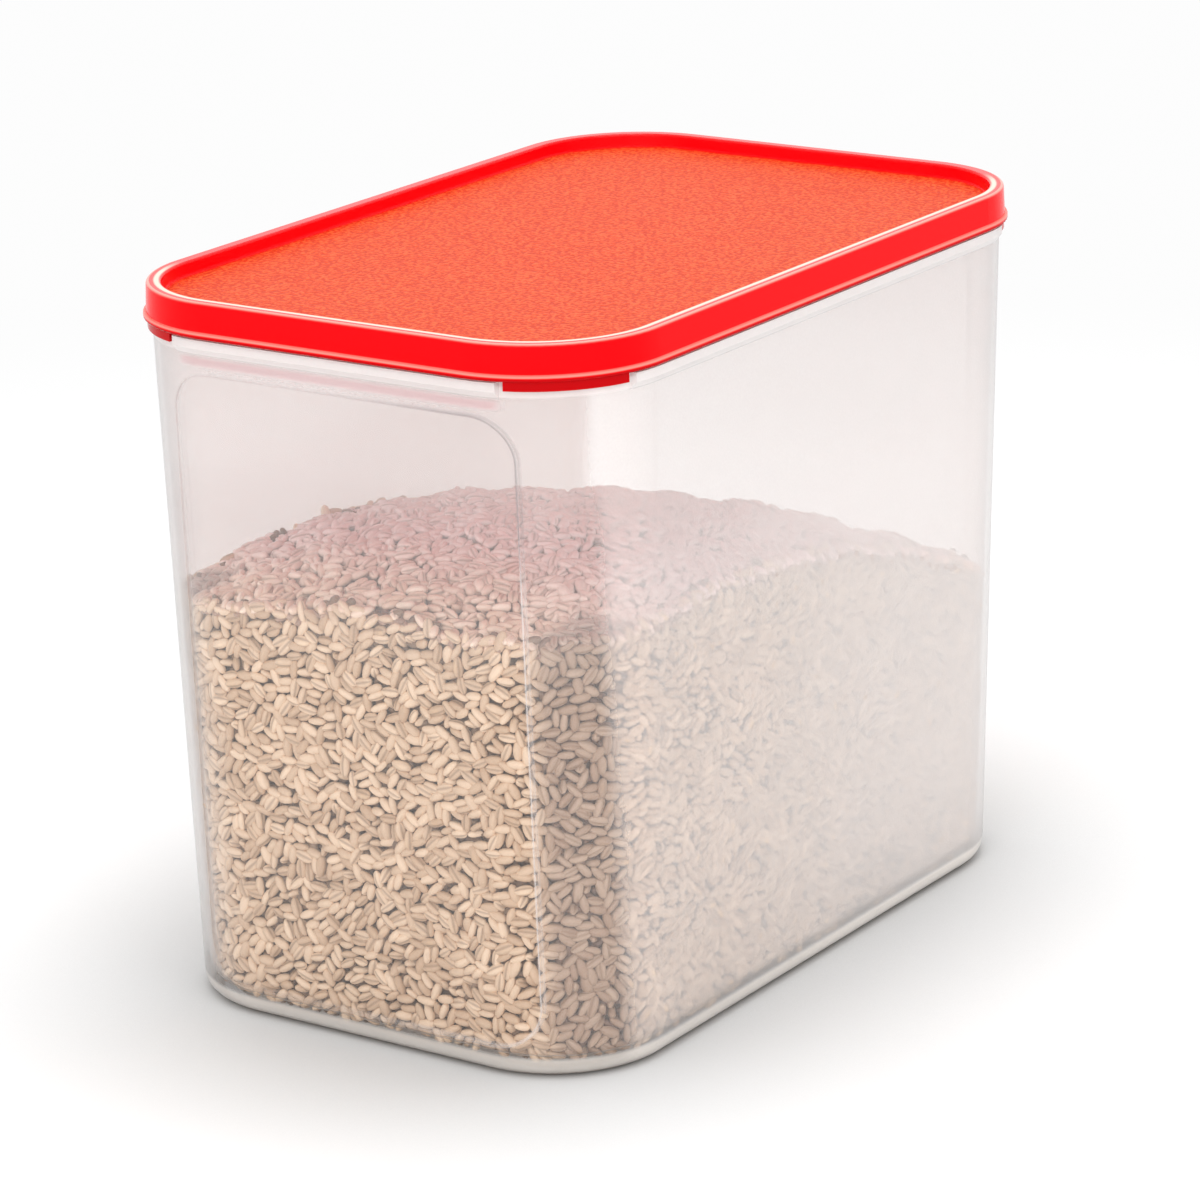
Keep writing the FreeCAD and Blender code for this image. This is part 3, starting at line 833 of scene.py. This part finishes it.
def build_grains(name, grains, shape, material):
    """Meshes of many separate grains, a limited number to each piece."""
    points, faces, crease = shape
    per_piece = PIECE_FACES // len(faces)
    for number, start in enumerate(range(0, len(grains), per_piece)):
        some = grains[start:start + per_piece]
        axes = np.array([matrix for _, matrix in some])
        centres = np.array([centre for centre, _ in some])
        places = np.einsum("gij,pj->gpi", axes, points) + centres[:, None, :]
        offsets = np.arange(len(some))[:, None, None] * len(points)
        triangles = (faces[None] + offsets).reshape(-1, 3)
        mesh = bpy.data.meshes.new(f"{name}_{number + 1}")
        mesh.vertices.add(len(some) * len(points))
        mesh.vertices.foreach_set("co", places.astype(np.float32).ravel())
        mesh.loops.add(triangles.size)
        mesh.loops.foreach_set("vertex_index", triangles.astype(np.int32).ravel())
        mesh.polygons.add(len(triangles))
        mesh.polygons.foreach_set("loop_start", np.arange(0, triangles.size, 3, dtype=np.int32))
        attribute = mesh.attributes.new("crease", "FLOAT", "POINT")
        attribute.data.foreach_set("value", np.tile(crease, len(some)).astype(np.float32))
        mesh.update(calc_edges=True)
        mesh.shade_smooth()
        mesh.materials.append(material)
        add_wheat_piece(mesh)


def add_wheat_piece(mesh):
    """A piece of the wheat, which rides with the container."""
    piece = bpy.data.objects.new(mesh.name, mesh)
    scene.collection.objects.link(piece)
    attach(piece, "container")
    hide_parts("wheat_fill")


def build_core(material):
    """The heap's inside just behind the grains, drawn dark as painted shade."""
    around = CORE_STEPS
    levels = CORE_LEVELS
    rings = CORE_RINGS
    length = sum(outline_lengths(INNER_TOP_HALF, INNER_TOP_RADIUS))
    points = []
    for level in range(levels + 1):
        for step in range(around):
            distance = length * step / around
            point, normal = wall_point(distance, FLOOR_HEIGHT + FLOOR_EDGE_RADIUS)
            inner = point - normal * CORE_DEPTH
            low = FLOOR_HEIGHT + GRAIN_GAP
            high = mound_height(inner.x, inner.y) - CORE_DEPTH
            height = low + (high - low) * level / levels
            point, normal = wall_point(distance, height)
            points.append((*(point - normal * CORE_DEPTH), height))
    faces = [tuple(reversed(range(around)))]
    top = levels * around
    for ring in range(1, rings):
        shrink = 1 - ring / rings
        for step in range(around):
            x, y = (value * shrink for value in points[top + step][:2])
            points.append((x, y, mound_height(x, y) - CORE_DEPTH))
    points.append((0, 0, mound_height(0, 0) - CORE_DEPTH))
    for ring in range(levels + rings - 1):
        low = ring * around
        for step in range(around):
            after = (step + 1) % around
            faces.append((low + step, low + after, low + around + after, low + around + step))
    inner = top + (rings - 1) * around
    for step in range(around):
        faces.append((inner + step, inner + (step + 1) % around, len(points) - 1))
    mesh = bpy.data.meshes.new("wheat_core")
    mesh.from_pydata(points, [], faces)
    mesh.shade_smooth()
    mesh.materials.append(material)
    add_wheat_piece(mesh)


def build_wheat():
    """All the wheat: the core, the grains at the walls and the grains on top, in two layers."""
    chooser = np.random.default_rng(SEED)
    wall = grain_material("wheat_grain", WALL_TONES)
    # Darker copies behind and below are painted shade; the lighter pink copy on top is a painted glow
    behind = grain_material("wheat_grain_behind_shade", BEHIND_SHADE_TONES)
    below = grain_material("wheat_grain_below_shade", BELOW_SHADE_TONES)
    top = grain_material("wheat_grain_top_glow", TOP_GLOW_TONES, TOP_GLOW_TINT)
    build_core(core_material())
    fine = grain_shape(FINE_ANGLES, FINE_STATIONS)
    plain = grain_shape(PLAIN_ANGLES, PLAIN_STATIONS)
    build_grains("wheat_wall", wall_grains(chooser, 0), fine, wall)
    build_grains("wheat_wall_behind", wall_grains(chooser, 1), plain, behind)
    build_grains("wheat_top", top_grains(chooser, 0), fine, top)
    build_grains("wheat_top_below", top_grains(chooser, 1), plain, below)


# Stage

def floor_material():
    """White paper with a painted shadow, darker close to what stands on it; far off the camera sees an
    even white.
    """
    material, tree, output = new_material("floor_white")
    nearby = tree.nodes.new("ShaderNodeAmbientOcclusion")
    nearby.samples = CONTACT_SAMPLES
    nearby.inputs["Distance"].default_value = CONTACT_DISTANCE
    # Painted contact shadow: darker where the container is near
    white = blend_colours(tree, nearby.outputs["AO"], PAINTED_CONTACT_SHADOW_GREY, FLOOR_WHITE)
    paper = shader(tree, "ShaderNodeBsdfDiffuse", Color=white)
    away = tree.nodes.new("ShaderNodeVectorMath")
    away.operation = "LENGTH"
    tree.links.new(place(tree)[0], away.inputs[0])
    far = fade(tree, away.outputs["Value"], *BACKDROP_START)
    rays = tree.nodes.new("ShaderNodeLightPath").outputs
    seen = calculate(tree, "MAXIMUM", rays["Is Camera Ray"], rays["Is Glossy Ray"])
    seen = calculate(tree, "MAXIMUM", seen, rays["Is Transmission Ray"])
    backdrop = shader(tree, "ShaderNodeEmission", Color=(*BACKDROP_WHITE, 1))
    surface = mix_shaders(tree, multiply(tree, far, seen), paper.outputs[0], backdrop.outputs[0])
    tree.links.new(surface, output.inputs["Surface"])
    return material


def add_floor():
    """A wide floor that keeps the container's soft shadow."""
    reach = FLOOR_REACH
    corners = [(-reach, -reach, 0), (reach, -reach, 0), (reach, reach, 0), (-reach, reach, 0)]
    mesh = bpy.data.meshes.new("floor")
    mesh.from_pydata(corners, [], [(0, 1, 2, 3)])
    mesh.materials.append(floor_material())
    floor = bpy.data.objects.new("floor", mesh)
    scene.collection.objects.link(floor)


def add_world():
    """Even white surroundings."""
    world = bpy.data.worlds.new("studio")
    scene.world = world
    world.use_nodes = True
    background = world.node_tree.nodes["Background"]
    background.inputs["Color"].default_value = (1, 1, 1, 1)
    background.inputs["Strength"].default_value = WORLD_STRENGTH


def add_softbox(name, location, size, power):
    """A square area lamp that faces the container."""
    data = bpy.data.lights.new(name, "AREA")
    data.size = size
    data.energy = power
    lamp = bpy.data.objects.new(name, data)
    scene.collection.objects.link(lamp)
    lamp.location = location
    towards = Vector(LAMP_TARGET) - Vector(location)
    lamp.rotation_euler = towards.to_track_quat("-Z", "Y").to_euler()


def add_camera():
    """The photograph's viewpoint."""
    level = math.cos(CAMERA_ELEVATION)
    back = Vector((
        math.sin(CAMERA_AZIMUTH) * level,
        -math.cos(CAMERA_AZIMUTH) * level,
        math.sin(CAMERA_ELEVATION),
    ))
    right = Vector((math.cos(CAMERA_AZIMUTH), math.sin(CAMERA_AZIMUTH), 0))
    up = back.cross(right)
    turned_right = right * math.cos(CAMERA_ROLL) + up * math.sin(CAMERA_ROLL)
    turned_up = up * math.cos(CAMERA_ROLL) - right * math.sin(CAMERA_ROLL)
    data = bpy.data.cameras.new("camera")
    data.sensor_fit = "HORIZONTAL"
    data.sensor_width = SENSOR_WIDTH
    data.lens = SENSOR_WIDTH * FOCAL_PIXELS / FRAME_PIXELS
    data.shift_x = 0.5 - PRINCIPAL_PIXEL[0] / FRAME_PIXELS
    data.shift_y = PRINCIPAL_PIXEL[1] / FRAME_PIXELS - 0.5
    camera = bpy.data.objects.new("camera", data)
    scene.collection.objects.link(camera)
    turn = Matrix((turned_right, turned_up, back)).transposed().to_4x4()
    camera.matrix_world = Matrix.Translation(CAMERA_TARGET + back * CAMERA_DISTANCE) @ turn
    scene.camera = camera


def dress(node, material):
    """Give a CAD node its material."""
    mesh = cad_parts[node].data
    mesh.materials.clear()
    mesh.materials.append(material)


scene = bpy.context.scene
scene.view_settings.view_transform = "Standard"
add_camera()
add_world()
add_floor()
for lamp_name, lamp_place, lamp_size, lamp_power in LAMPS:
    add_softbox(lamp_name, lamp_place, lamp_size, lamp_power)
dress("lid", lid_material())
dress("tub", tub_material())
build_wheat()
